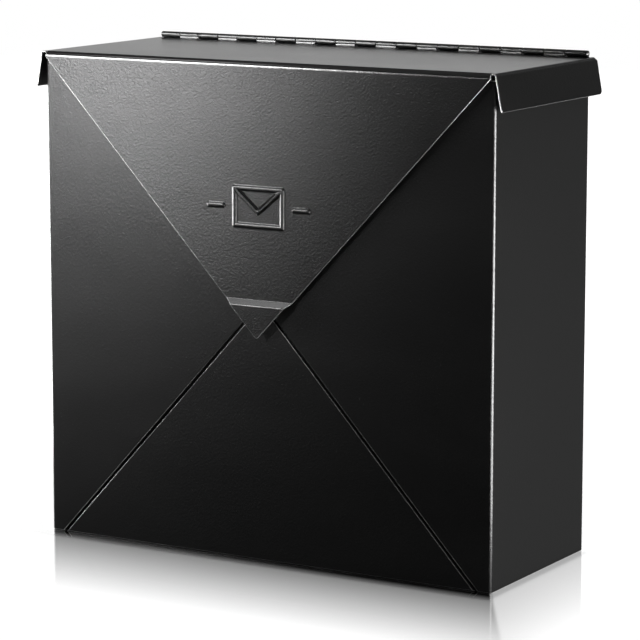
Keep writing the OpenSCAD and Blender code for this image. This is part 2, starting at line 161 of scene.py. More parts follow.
# A sheet under construction: vertices in the flat with their normals, loops to fill between
class FlatSheet:
    def __init__(self, thickness=stock["thickness"], edge=stock["edge"], edgeSteps=4):
        self.mesh = bmesh.new()
        self.normal = self.mesh.verts.layers.float_vector.new("flatNormal")
        self.bead = self.mesh.verts.layers.float.new("bead")
        self.half, self.edge, self.edgeSteps = thickness / 2, edge, edgeSteps
        self.topLoops, self.lowLoops = [], []
        # A function of the flat place that lays painted light on the top face: a painted highlight above 0, a
        # painted shade below 0
        self.wearAndPaintedLight = lambda u, v: 0.0

    def vertex(self, place, normal, bead=0.0):
        made = self.mesh.verts.new(place)
        made[self.normal] = Vector(normal).normalized()
        made[self.bead] = bead
        return made

    # Joins two closed rings of vertices, the second one further down and out
    def joinRings(self, upper, lower):
        for i in range(len(upper)):
            j = (i + 1) % len(upper)
            self.mesh.faces.new((upper[i], lower[i], lower[j], upper[j]))

    # The rounded edge of the sheet along an outline or round a hole
    def addEdge(self, points):
        rings = []
        for side in (1, -1):
            for k in range(self.edgeSteps + 1):
                a = math.pi / 2 * (1 - k / self.edgeSteps) if side > 0 else -math.pi / 2 * k / self.edgeSteps
                c, s = math.cos(a), math.sin(a)
                inset, height = self.edge * (1 - c), side * (self.half - self.edge) + self.edge * s
                rings.append([self.vertex((*(p - way * inset), height), (*(way * c), s), c)
                              for p, way in points])
        for upper, lower in zip(rings, rings[1:]):
            self.joinRings(upper, lower)
        self.topLoops.append(rings[0])
        self.lowLoops.append(rings[-1])

    # A round pressed form with a hole in it: (radius, height, slope angle) from its outer ring inwards
    def addPressedForm(self, u, v, profile, steps=48):
        rings = {1: [], -1: []}
        for side in (1, -1):
            for radius, height, slope in profile:
                nr, nh = math.sin(slope), math.cos(slope)
                r, h = radius + side * nr * self.half, height + side * nh * self.half
                rings[side].append([self.vertex((u + way.x * r, v + way.y * r, h),
                                                (way.x * nr * side, way.y * nr * side, nh * side))
                                    for way in clockwise(steps)])
        for side in (1, -1):
            for outer, inner in zip(rings[side], rings[side][1:]):
                self.joinRings(*((outer, inner) if side > 0 else (inner, outer)))
        self.topLoops.append(rings[1][0])
        self.lowLoops.append(rings[-1][0])
        self.joinBore(u, v, rings[1][-1], rings[-1][-1])

    # The rounded wall of a hole between two flat rings
    def joinBore(self, u, v, upper, lower):
        ways = [(Vector(vert.co[:2]) - Vector((u, v))).normalized() for vert in upper]
        radius = (Vector(upper[0].co[:2]) - Vector((u, v))).length - self.edge
        middle = (upper[0].co.z + lower[0].co.z) / 2
        previous = upper
        for k in range(1, 2 * self.edgeSteps):
            a = math.pi / 2 * (1 - k / self.edgeSteps)
            c, s = math.cos(a), math.sin(a)
            reach = radius + self.edge * (1 - c)
            lift = math.copysign(self.half - self.edge, a) if k != self.edgeSteps else 0.0
            ring = [self.vertex((u + way.x * reach, v + way.y * reach, middle + lift + self.edge * s),
                                (-way.x * c, -way.y * c, s), c) for way in ways]
            self.joinRings(previous, ring)
            previous = ring
        self.joinRings(previous, lower)

    # A rectangle of fine mesh raised by relief(u, v), pressed through both faces
    def addReliefPatch(self, low, high, step, relief):
        columns = math.ceil((high[0] - low[0]) / step)
        rows = math.ceil((high[1] - low[1]) / step)
        us = np.linspace(low[0], high[0], columns + 1)
        vs = np.linspace(low[1], high[1], rows + 1)
        gridU, gridV = np.meshgrid(us, vs)
        raised = relief(gridU, gridV)
        slopeV, slopeU = np.gradient(raised, vs, us)
        for side, loops in ((1, self.topLoops), (-1, self.lowLoops)):
            grid = [[self.vertex((us[i], vs[j], side * self.half + raised[j, i]),
                                 (-side * slopeU[j, i], -side * slopeV[j, i], side))
                     for i in range(columns + 1)] for j in range(rows + 1)]
            for j in range(rows):
                for i in range(columns):
                    corners = (grid[j][i], grid[j][i + 1], grid[j + 1][i + 1], grid[j + 1][i])
                    self.mesh.faces.new(corners if side > 0 else corners[::-1])
            border = [grid[j][0] for j in range(rows)] + grid[rows][:-1]
            border += [grid[j][-1] for j in range(rows, 0, -1)] + grid[0][:0:-1]
            loops.append(border)

    # Fills both faces of the sheet with triangles between the loops, in millimetres for the tool's tolerance
    def fill(self):
        for side, loops in ((1, self.topLoops), (-1, self.lowLoops)):
            flat, borders = [], []
            for loop in loops:
                first = len(flat)
                flat += loop
                borders += [(first + i, first + (i + 1) % len(loop)) for i in range(len(loop))]
            filled = delaunay_2d_cdt([Vector(vert.co[:2]) / mm for vert in flat], borders, [], 1, 1e-6)
            for triple in filled[2]:
                a, b, c = (flat[filled[3][i][0]] for i in triple)
                middle = (a.co + b.co + c.co) / 3
                if not any(encloses(loop, middle) for loop in loops[1:]):
                    upward = (b.co - a.co).cross(c.co - a.co).z
                    self.mesh.faces.new((a, b, c) if upward * side > 0 else (a, c, b))

    def cut(self, places, axis, keep=None):
        for place in places:
            normal = Vector((1, 0, 0)) if axis == "u" else Vector((0, 1, 0))
            self.cutLine(normal * place, normal, keep)

    def cutLine(self, point, normal, keep=None):
        faces = [f for f in self.mesh.faces if keep is None or keep(f.calc_center_median())]
        parts = set(faces)
        for f in faces:
            parts.update(f.edges)
            parts.update(f.verts)
        bmesh.ops.bisect_plane(self.mesh, geom=list(parts), dist=stock["onCut"],
                               plane_co=point, plane_no=normal)

    def cutTray(self, sides, front, rear):
        for side in (1, -1):
            self.cut([side * c for c in sides.cuts], "u")
        self.cut([-c for c in front.cuts], "v")
        self.cut(rear.cuts, "v")

    # Bends the flat sheet by place(u, v, w), which gives a point and three axes, into a finished object
    def bentObject(self, name, place):
        bmesh.ops.dissolve_degenerate(self.mesh, dist=stock["sliver"], edges=self.mesh.edges)
        normals, edges = [], []
        for vert in self.mesh.verts:
            # The edge attribute holds painted light: a painted highlight on the rounded edges and groove
            # lips, and a painted shade below 0 in the pressed lines
            lipHighlightAndGrooveShade = self.wearAndPaintedLight(vert.co.x, vert.co.y) if vert.co.z > 0 else 0.0
            edges.append(min(1.0, stock["edgeHighlightGain"] * vert[self.bead]) + lipHighlightAndGrooveShade)
            n = vert[self.normal]
            vert.co, eu, ev, ew = place(*vert.co)
            normals.append((eu * n.x + ev * n.y + ew * n.z).normalized())
        piece = objectFrom(self.mesh, name)
        piece.data.normals_split_custom_set_from_vertices(normals)
        piece.data.attributes.new("edge", "FLOAT", "POINT").data.foreach_set("value", edges)
        return piece


# Bends a tray: the flat middle, with its four sides folded down
def trayPlace(sidePath, frontPath, rearPath, frontReach, rearReach):
    def place(u, v, w):
        across = abs(u) > (rearReach if v > 0 else frontReach)
        side = 1 if (u if across else v) > 0 else -1
        path = sidePath if across else rearPath if v > 0 else frontPath
        p, angle = path.at(abs(u if across else v))
        c, s = math.cos(angle), math.sin(angle)
        reach, height = side * (p.x + w * s), p.y + w * c
        if across:
            return (Vector((reach, v, height)),
                    Vector((c, 0, -side * s)), Vector((0, 1, 0)), Vector((side * s, 0, c)))
        return (Vector((u, reach, height)),
                Vector((1, 0, 0)), Vector((0, c, -side * s)), Vector((0, side * s, c)))
    return place


# A sheet that stands up from its foot: a point of it, with its upward and outward axes there
def upright(path, v, w, foot, out):
    q, b = path.at(v)
    up = Vector((0, 0, 1))
    ev, ew = up * math.cos(b) - out * math.sin(b), up * math.sin(b) + out * math.cos(b)
    return foot + up * q.x + out * q.y + ew * w, ev, ew


# Stands a flat plate across the box, with its face to the rear (side 1) or to the front (side -1)
def platePlace(path, y, low, side):
    def place(u, v, w):
        point, ev, ew = upright(path, v, w, Vector((-side * u, y, low)), Vector((0, side, 0)))
        return point, Vector((-side, 0, 0)), ev, ew
    return place


# A turned or pressed round part: (along, radius) from one end to the other, swept round an axis
def turnedRound(name, start, axis, profile, steps=40):
    mesh = bmesh.new()
    ahead = Vector(axis).normalized()
    side = ahead.orthogonal().normalized()
    third = ahead.cross(side)
    angles = [2 * math.pi * k / steps for k in range(steps)]
    ways = [side * math.cos(a) + third * math.sin(a) for a in angles]
    rings = []
    for along, radius in profile:
        centre = Vector(start) + ahead * along
        rings.append([mesh.verts.new(centre + way * radius) for way in (ways if radius > 0 else ways[:1])])
    for first, second in zip(rings, rings[1:]):
        for i in range(steps):
            j = (i + 1) % steps
            corners = [ring[k % len(ring)] for ring, k in ((first, i), (first, j), (second, j), (second, i))]
            mesh.faces.new([c for k, c in enumerate(corners) if c is not corners[k - 1]])
    bmesh.ops.recalc_face_normals(mesh, faces=mesh.faces)
    return objectFrom(mesh, name)


# A profile's rounded corner, from one heading to another, as (along, radius) points
def roundedCorner(along, radius, size, startAngle, endAngle, steps=5):
    angles = [math.radians(startAngle + (endAngle - startAngle) * k / steps) for k in range(steps + 1)]
    return [(along + size * math.cos(a), radius + size * math.sin(a)) for a in angles]


def joined(name, pieces):
    whole = bmesh.new()
    for piece in pieces:
        whole.from_mesh(piece.data)
        bpy.data.meshes.remove(piece.data)  # its object goes with it
    return objectFrom(whole, name)


def mirrored(corners):
    return corners + [(-u, v, r) for u, v, r in reversed(corners)]


# Lid: flat top, splayed skirts, flap with the finger pull, rear flange. lidCut has the radii of its cut
# corners and the relief notch at the rear end of each fold.
lid = {**inMm(top=309.8, foldX=159.6, foldFront=62.0, frontRadius=3.2, foldRear=62.1, radius=1.7,
              skirt=21.05, earFront=-65.2, earRear=69.3, slit=0.5, flapHalf=157.8, hingeHalf=157,
              flange=11.8, pullZ=163.8, pullLow=160.4, pullOut=3.2, pullRadius=1.0, tipZ=139.8,
              tipRadius=1.6), "splay": 10.5, "lean": math.radians(2.1)}
lidCut = inMm(fold=0.9, slitEnd=0.2, slitMouth=0.55, skirt=1.2, skirtRear=3, flange=1.5, notch=0.5,
              notchOut=2.4, notchMid=1.1, notchIn=0.1, notchDeep=2.1)
signRelief = inMm(z=221, width=34, height=23, barStart=25.5, barEnd=35.5, half=2, flat=0.5, raised=1.1,
                  mesh=0.33, patchU=38.5, patchV=14.5)
flapTop = lid["top"] - lid["frontRadius"] - halfSheet


def lidPaths():
    middle, drop = lid["top"] - halfSheet, lid["pullZ"] - lid["pullLow"]
    stepAngle = math.atan2(lid["pullOut"], drop)
    tangent = lid["pullRadius"] * math.tan(stepAngle / 2)
    step, back = (bend(lid["pullRadius"], side * math.degrees(stepAngle)) for side in (-1, 1))
    sides = FoldPath([run(lid["foldX"]), bend(lid["radius"], 90 - lid["splay"]), run(lid["skirt"])], middle)
    front = FoldPath([run(lid["foldFront"]), bend(lid["frontRadius"], 90),
                      run(flapTop - lid["pullZ"] - tangent), step,
                      run(math.hypot(lid["pullOut"], drop) - 2 * tangent), back,
                      run(lid["pullLow"] - tangent - lid["tipZ"])], middle)
    rear = FoldPath([run(lid["foldRear"]), bend(lid["radius"], 90), run(lid["flange"])], middle)
    return sides, front, rear


def distanceToStroke(u, v, start, end):
    start, end = np.array(start), np.array(end)
    along = end - start
    part = np.clip(((u - start[0]) * along[0] + (v - start[1]) * along[1]) / (along @ along), 0, 1)
    return np.hypot(u - start[0] - part * along[0], v - start[1] - part * along[1])


# A plain envelope between two short bars, as heights above the flap
def signHeight(u, v):
    w, h = signRelief["width"] / 2, signRelief["height"] / 2
    strokes = [((-w, -h), (w, -h)), ((-w, h), (w, h))]
    for side in (-1, 1):
        strokes += [((side * w, -h), (side * w, h)), ((side * w, h), (0, -h / 4)),
                    ((side * signRelief["barStart"], 0), (side * signRelief["barEnd"], 0))]
    nearest = np.min([distanceToStroke(u, v, *ends) for ends in strokes], axis=0)
    slope = np.clip((signRelief["half"] - nearest) / (signRelief["half"] - signRelief["flat"]), 0, 1)
    return signRelief["raised"] * (0.5 - 0.5 * np.cos(math.pi * slope))


def makeLid():
    sides, front, rear = lidPaths()
    cut, foldV, foldX, rearV = lidCut, -lid["foldFront"], lid["foldX"], lid["earRear"]
    flapV = foldV - lid["frontRadius"] * math.pi / 2
    flapGap, hingeGap = lid["flapHalf"] + lid["slit"], lid["hingeHalf"] + lid["slit"]
    right = [(lid["flapHalf"], flapV, cut["fold"]), (lid["flapHalf"], foldV, cut["slitEnd"]),
             (flapGap, foldV, cut["slitEnd"]), (flapGap, lid["earFront"], cut["slitMouth"]),
             (sides.length, lid["earFront"], cut["skirt"]), (sides.length, rearV, cut["skirtRear"]),
             (foldX + cut["notchOut"], rearV, cut["skirt"]),
             (foldX + cut["notchMid"], rearV - cut["notchDeep"], cut["notch"]),
             (foldX - cut["notchIn"], rearV, cut["fold"]), (hingeGap, rearV, cut["slitMouth"]),
             (hingeGap, lid["foldRear"], cut["slitEnd"]), (lid["hingeHalf"], lid["foldRear"], cut["slitEnd"]),
             (lid["hingeHalf"], rear.length, cut["flange"])]
    sheet = FlatSheet()
    sheet.addEdge(roundedOutline([(0, -front.length, lid["tipRadius"])] + mirrored(right)))
    signV = flapV - (flapTop - signRelief["z"])
    halfU, halfV = signRelief["patchU"], signRelief["patchV"]
    sheet.addReliefPatch((-halfU, signV - halfV), (halfU, signV + halfV), signRelief["mesh"],
                         lambda u, v: signHeight(u, v - signV))
    sheet.fill()
    sheet.cutTray(sides, front, rear)
    flapReach = lid["flapHalf"] + lid["slit"] / 2
    place = trayPlace(sides, front, rear, flapReach, lid["hingeHalf"] + lid["slit"] / 2)

    # The flap's face leans back very slightly, as a sheet bowed by its bends does
    def leaned(u, v, w):
        point, eu, ev, ew = place(u, v, w)
        if v < foldV and abs(u) < flapReach:
            lean = lid["lean"] * min(1.0, (foldV - v) / (foldV - flapV))
            ev, ew = ev * math.cos(lean) - ew * math.sin(lean), ew * math.cos(lean) + ev * math.sin(lean)
        return point, eu, ev, ew
    return sheet.bentObject("lid_sheet", leaned)


# Front and sides: one wrapped sheet with its top returns, back returns and the two pressed lines. bodyCut has
# the radii of its cut corners.
body = {**inMm(halfWidth=160, halfDepth=62.5, height=307, fold=1.6, rim=9, corner=2.3, backReturn=12,
               backTop=285.56, rimEnd=49.26, notch=1, grooveFoot=149.6, grooveApex=162, grooveHalf=1.2,
               grooveDepth=0.95, grooveRoom=4, lip=1.3, lipHalf=0.22, lipEnd=3), "grooveShape": 0.8}
bodyCut = inMm(foot=0.8, returnTop=2, returnIn=0.5, sideTop=0.6, fold=0.3, rim=1.5, mitre=1)


# How far down a pressed line from its top end, and how far away from it
def fromGroove(u, v):
    along = Vector((body["grooveFoot"], -body["grooveApex"])).normalized()
    there = Vector((abs(u), v - body["grooveApex"]))
    down = there.dot(along)
    return down, abs(there.cross(along)) if down > 0 else there.length


def grooveDrop(u, v):
    away = fromGroove(u, v)[1] / body["grooveHalf"]
    if away >= 1:
        return 0.0
    return -body["grooveDepth"] * (0.5 + 0.5 * math.cos(math.pi * away)) ** body["grooveShape"]


# The two lips of a pressed line get a painted highlight, and the groove between them a painted shade, below 0
def grooveHighlightAndShade(u, v):
    down, away = fromGroove(u, v)
    if down < 0 or abs(u) > body["halfWidth"] - body["lipEnd"] or v > body["grooveApex"]:
        return 0.0
    return max(0.0, 1 - abs(away - body["lip"]) / body["lipHalf"]) - max(0.0, 1 - away / body["grooveHalf"])


def wrapPlace(wrap, rim):
    small, room = 0.01 * mm, body["grooveRoom"]

    def place(u, v, w):
        side = 1 if u >= 0 else -1
        p, a = wrap.at(abs(u))
        cut, slopeU, slopeV = 0.0, 0.0, 0.0
        if abs(u) < body["grooveFoot"] + room and v < body["grooveApex"] + room:
            cut = grooveDrop(u, v)
            slopeU = (grooveDrop(u + small, v) - grooveDrop(u - small, v)) / (2 * small)
            slopeV = (grooveDrop(u, v + small) - grooveDrop(u, v - small)) / (2 * small)
        outward = Vector((side * math.sin(a), -math.cos(a), 0))
        tangent = Vector((math.cos(a), side * math.sin(a), 0))
        point, ev, ew = upright(rim, v, w, Vector((side * p.x, -p.y, 0)) + outward * cut, outward)
        return point, tangent, ev, ew - tangent * slopeU - ev * slopeV
    return place


def makeBodyWrap():
    corner, fold, cut = body["corner"], body["fold"], bodyCut
    flatHalf, sideRun = body["halfWidth"] - corner, 2 * (body["halfDepth"] - corner)
    turn = bend(corner - halfSheet, 90)
    wrap = FoldPath([run(flatHalf), turn, run(sideRun), turn, run(body["backReturn"] - corner)],
                    body["halfDepth"] - halfSheet, math.radians(7.5))
    top, arc = body["height"] - fold, (fold - halfSheet) * math.pi / 2
    rim = FoldPath([run(top), bend(fold - halfSheet, 90), run(body["rim"] - fold)])
    sideStart = flatHalf + (corner - halfSheet) * math.pi / 2
    rimEnd = sideStart + body["rimEnd"] + body["halfDepth"] - corner
    cornerEnd = sideStart + sideRun + sideStart - flatHalf
    slant = body["rim"] - fold
    frontIn, sideIn = flatHalf - body["notch"], sideStart + body["notch"]
    right = [(wrap.length, 0, cut["foot"]), (wrap.length, body["backTop"], cut["returnTop"]),
             (cornerEnd, body["backTop"], cut["returnIn"]), (cornerEnd, top, cut["sideTop"]),
             (rimEnd, top, cut["fold"]), (rimEnd, rim.length, cut["rim"]),
             (sideIn + slant, rim.length, cut["rim"]), (sideIn, top + arc, cut["mitre"]),
             (sideIn, top, cut["fold"]), (frontIn, top, cut["fold"]), (frontIn, top + arc, cut["mitre"]),
             (frontIn - slant, rim.length, cut["rim"])]
    sheet = FlatSheet()
    sheet.addEdge(roundedOutline(mirrored(right)))
    sheet.fill()
    sheet.cut([0.0], "u")
    for side in (1, -1):
        sheet.cut([side * c for c in wrap.cuts], "u")
    sheet.cut(rim.cuts, "v")
    grooveTop = body["grooveApex"] + body["grooveRoom"]
    sheet.cut([grooveTop], "v", lambda c: abs(c.x) < flatHalf)
    along = Vector((body["grooveFoot"], -body["grooveApex"], 0)).normalized()
    offsets = [body["grooveHalf"] * k / 6 for k in range(-6, 7)]
    offsets += [side * (body["lip"] + out) for side in (-1, 1) for out in (0.0, body["lipHalf"])]
    for side in (1, -1):
        across = Vector((along.y * side, -along.x, 0))
        for offset in offsets:
            sheet.cutLine(Vector((0, body["grooveApex"], 0)) + across * offset, across,
                          lambda c, s=side: 0 < c.x * s < flatHalf and c.y < grooveTop)
    # Painted highlight on the groove lips and painted shade in the grooves
    sheet.wearAndPaintedLight = grooveHighlightAndShade
    return sheet.bentObject("body_wrap", wrapPlace(wrap, rim))


# Back panel: flat sheet, four pressed bosses, and the step up to the hinge strip
back = inMm(half=157, low=1, mid=63, stepLow=285.36, stepHigh=291.16, rise=5.8, top=309.9, bend=2,
            corner=1.2, holeX=120, lowHoleZ=50, highHoleZ=250, bossBase=16, bossFace=10, bossHeight=7,
            bossBend=1.2, hole=3)


def makeBackPanel():
    tangent = back["bend"] * math.tan(math.pi / 8)
    path = FoldPath([run(back["stepLow"] - back["low"] - tangent), bend(back["bend"], -45),
                     run(back["rise"] * math.sqrt(2) - 2 * tangent), bend(back["bend"], 45),
                     run(back["top"] - back["stepHigh"] - tangent)])
    sheet = FlatSheet()
    ends = ((-1, 0), (1, 0), (1, path.length), (-1, path.length))
    sheet.addEdge(roundedOutline([(side * back["half"], v, back["corner"]) for side, v in ends]))
    base, face, rise, r = back["bossBase"], back["bossFace"], back["bossHeight"], back["bossBend"]
    wall = math.atan2(rise, base - face)
    tangent = r * math.tan(wall / 2)
    angles = [wall * k / 5 for k in range(6)]
    profile = [(base + tangent - r * math.sin(a), r * (1 - math.cos(a)), a) for a in angles]
    profile += [(face - tangent + r * math.sin(a), rise - r * (1 - math.cos(a)), a) for a in angles[::-1]]
    profile.append((back["hole"] + stock["edge"], rise, 0.0))
    for x in (-1, 1):
        for z in (back["lowHoleZ"], back["highHoleZ"]):
            sheet.addPressedForm(x * back["holeX"], z - back["low"], profile)
    sheet.fill()
    sheet.cut(path.cuts, "v")
    return sheet.bentObject("back_sheet", platePlace(path, back["mid"], back["low"], 1))


# Floor: a shallow pan with drain holes
pan = inMm(halfWidth=159, front=-61.5, rear=62.5, height=12, fold=1.6, frontHalf=134, rearHalf=147,
           sideHalf=58.9, drainX=130, drainY=32.5, drain=2.5, gap=0.4, flangeCorner=1.5, foldCorner=0.9,
           innerCorner=0.3)


def makeFloorPan():
    flange = [bend(pan["fold"] - halfSheet, 90), run(pan["height"] - pan["fold"])]
    sides, front, rear = (FoldPath([run(reach - pan["fold"])] + flange, -halfSheet)
                          for reach in (pan["halfWidth"], -pan["front"], pan["rear"]))
    outer, middle, inner = pan["flangeCorner"], pan["foldCorner"], pan["innerCorner"]
    clear = pan["halfWidth"] - pan["fold"]
    end, sideHalf = clear - pan["gap"], pan["sideHalf"]
    frontV, rearV = -pan["front"] - pan["fold"], pan["rear"] - pan["fold"]
    right = [(pan["frontHalf"], -front.length, outer), (pan["frontHalf"], -frontV, inner),
             (end, -frontV, middle), (end, -sideHalf, inner), (sides.length, -sideHalf, outer),
             (sides.length, sideHalf, outer), (end, sideHalf, inner), (end, rearV, middle),
             (pan["rearHalf"], rearV, inner), (pan["rearHalf"], rear.length, outer)]
    sheet = FlatSheet()
    sheet.addEdge(roundedOutline(mirrored(right)))
    for x in (-1, 1):
        for y in (-1, 1):
            sheet.addEdge(roundHole(x * pan["drainX"], y * pan["drainY"], pan["drain"]))
    sheet.fill()
    sheet.cutTray(sides, front, rear)
    place = trayPlace(sides, front, rear, clear - pan["gap"] / 2, clear - pan["gap"] / 2)

    # The tray is bent downwards and then turned over, about the Y axis
    def turnedOver(u, v, w):
        point, eu, ev, ew = (Vector((-a.x, a.y, -a.z)) for a in place(-u, v, w))
        return point, -eu, ev, ew
    return sheet.bentObject("floor_sheet", turnedOver)


# Hinge: two rolled leaves on one pin. A leaf steps out by its joggle, swings back and rolls over the pin.
hinge = {**inMm(y=66.3, z=311.9, half=157, gap=0.3, barrel=2, leaf=0.8, edge=0.35, pin=1.15, pinPlay=0.02,
                pinSoft=0.3, bodyLow=294.8, lidLow=296.8, lowBend=0.8, highBend=0.5, leafCorner=1,
                knuckleCorner=0.5, slotCorner=0.4), "knuckles": 21, "roll": 318}


def makeHingeLeaf(name, first, low, side, swell, joggle):
    mid, lowBend, highBend = hinge["barrel"] - hinge["leaf"] / 2, hinge["lowBend"], hinge["highBend"]
    plate = hinge["z"] - low
    sinSwell, cosSwell = math.sin(math.radians(swell)), math.cos(math.radians(swell))
    sinJoggle, cosJoggle = math.sin(math.radians(joggle)), math.cos(math.radians(joggle))
    slant = ((mid + highBend) * (1 - cosSwell) - (highBend + lowBend) * (1 - cosJoggle)) / sinJoggle
    used = (mid + highBend) * sinSwell + slant * cosJoggle + (highBend + lowBend) * sinJoggle
    path = FoldPath([run(plate - used), bend(lowBend, joggle), run(slant), bend(highBend, -joggle - swell),
                     bend(mid, hinge["roll"] + swell)], step=math.radians(12))
    slotFloor = plate - hinge["barrel"] - hinge["gap"]
    pitch, end, corner = 2 * hinge["half"] / hinge["knuckles"], hinge["half"], hinge["knuckleCorner"]
    top = []
    for i in reversed(range(first, hinge["knuckles"], 2)):
        left = i * pitch - end + hinge["gap"] / 2
        right = left + pitch - hinge["gap"]
        top += [(right, slotFloor, hinge["slotCorner"]), (right, path.length, corner),
                (left, path.length, corner), (left, slotFloor, hinge["slotCorner"])]
    if first == 1:
        top = [(end, slotFloor, corner)] + top + [(-end, slotFloor, corner)]
    else:
        top = top[1:-1]  # the end knuckles stand flush with the leaf's ends
    foot = [(top[k][0], 0, hinge["leafCorner"]) for k in (-1, 0)]
    sheet = FlatSheet(hinge["leaf"], hinge["edge"], edgeSteps=3)
    sheet.addEdge(roundedOutline(foot + top, math.radians(22)))
    sheet.fill()
    sheet.cut(path.cuts, "v")
    return sheet.bentObject(name, platePlace(path, hinge["y"] + side * mid, low, side))


def makePin():
    r, half, soft = hinge["pin"] - hinge["pinPlay"], hinge["half"], hinge["pinSoft"]
    profile = [(-half, 0)] + roundedCorner(-half + soft, r - soft, soft, 180, 90)
    profile += [(-half + 2 * half * k / 12, r) for k in range(1, 12)]
    profile += roundedCorner(half - soft, r - soft, soft, 90, 0) + [(half, 0)]
    return turnedRound("hinge_pin_rod", (0, hinge["y"], hinge["z"]), (1, 0, 0), profile)


# Rivets: a domed head on one side of the sheets, a set tail on the other
rivet = {**inMm(pitch=68, z=301.8, lidY=63.3, bodyY=69.3, head=3.2, headHeight=0.8, brim=0.08,
                brimRound=0.06, shank=1.6, grip=1.8, tail=2.4, tailHeight=0.9, tailFoot=0.15,
                tailRound=0.1), "tailDome": 0.6}


def makeRivets(name, places, y, direction):
    head, shank, tail, grip, foot = (rivet[k] for k in ("head", "shank", "tail", "grip", "tailFoot"))
    profile = [(-rivet["headHeight"] * math.cos(a), head * math.sin(a))
               for a in np.radians(np.linspace(0, 78, 9))]
    profile += [(-rivet["brim"], head), (0.0, head - rivet["brimRound"]), (0.0, shank), (grip, shank),
                (grip, tail - rivet["tailRound"]), (grip + foot, tail)]
    dome = rivet["tailHeight"] - foot
    profile += [(grip + foot + dome * math.sin(a), tail * math.cos(a) ** rivet["tailDome"])
                for a in np.radians(np.linspace(10, 84, 8))] + [(grip + rivet["tailHeight"], 0)]
    return joined(name, [turnedRound("rivet", (i * rivet["pitch"], y, rivet["z"]), (0, direction, 0), profile)
                         for i in places])


# Rubber bumpers, slightly dished on top
bumper = inMm(radius=3.25, x=135, lidY=-57.2, under=308.8, height=1.5, flapY=-64.7, flapZ=190,
              flapHeight=1.9, foot=0.1, taper=0.05, soft=0.5, dishRim=0.08, dish=0.1)


def makeBumper(name, start, axis, height):
    r, soft, taper, foot = (bumper[k] for k in ("radius", "soft", "taper", "foot"))
    profile = [(0, 0), (0, r - foot), (foot, r), (height * 0.5, r - taper)]
    profile += roundedCorner(height - soft, r - soft - taper, soft, 90, 0)
    profile += [(height, r * 0.5), (height - bumper["dishRim"], r * 0.3), (height - bumper["dish"], 0)]
    return turnedRound(name, start, axis, profile, 48)


def makeLidBumpers():
    return joined("lid_rubbers", [makeBumper("bumper", (side * bumper["x"], bumper["lidY"], bumper["under"]),
                                             (0, 0, -1), bumper["height"]) for side in (-1, 1)])


dressed = []


# Puts a piece in a CAD node's place, on a body, in a material slot; its finish is the slot's own or another
def addPiece(piece, bodyName, node, slotName, finish=None):
    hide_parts(node)
    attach(piece, bodyName)
    dressed.append((piece, finish or slotName))
    print("made", piece.name, len(piece.data.polygons), "faces")


addPiece(makeLid(), "lid", "lid", "black_powder_coat", "lid_powder_coat")
addPiece(makeBodyWrap(), "body", "front_and_sides", "black_powder_coat")
addPiece(makeBackPanel(), "body", "back_panel", "black_powder_coat")
addPiece(makeFloorPan(), "body", "floor_pan", "black_powder_coat")
addPiece(makeHingeLeaf("body_leaf_roll", 0, hinge["bodyLow"], 1, 50, 30),
         "body", "hinge_body_leaf", "black_hinge")
addPiece(makeHingeLeaf("lid_leaf_roll", 1, hinge["lidLow"], -1, 24, 14),
         "lid", "hinge_lid_leaf", "black_hinge")
addPiece(makePin(), "body", "hinge_pin", "hinge_pin_steel")
addPiece(makeRivets("lid_rivets", (-2, -1, 0, 1, 2), rivet["lidY"], 1),
         "lid", "lid_leaf_rivets", "black_hinge")
addPiece(makeRivets("body_rivets", (-1.5, -0.5, 0.5, 1.5), rivet["bodyY"], -1),
         "body", "body_leaf_rivets", "black_hinge")
addPiece(makeLidBumpers(), "lid", "lid_bumpers", "black_rubber")
addPiece(makeBumper("flap_rubber", (0, bumper["flapY"], bumper["flapZ"]), (0, 1, 0), bumper["flapHeight"]),
         "lid", "flap_bumper", "black_rubber")


# A value's socket in an expression: its operators add the Math nodes that work it out
class Wire:
    def __init__(self, graph, socket):
        self.graph, self.socket = graph, socket

    def combine(self, operation, first, second):
        return self.graph.add("ShaderNodeMath", {"operation": operation}, {0: first, 1: second})

    def __add__(self, other): return self.combine("ADD", self, other)
    def __radd__(self, other): return self.combine("ADD", other, self)
    def __sub__(self, other): return self.combine("SUBTRACT", self, other)
    def __rsub__(self, other): return self.combine("SUBTRACT", other, self)
    def __mul__(self, other): return self.combine("MULTIPLY", self, other)
    def __rmul__(self, other): return self.combine("MULTIPLY", other, self)
    def __truediv__(self, other): return self.combine("DIVIDE", self, other)
    def __rtruediv__(self, other): return self.combine("DIVIDE", other, self)
    def __pow__(self, other): return self.combine("POWER", self, other)
    def __neg__(self): return self.combine("MULTIPLY", self, -1.0)


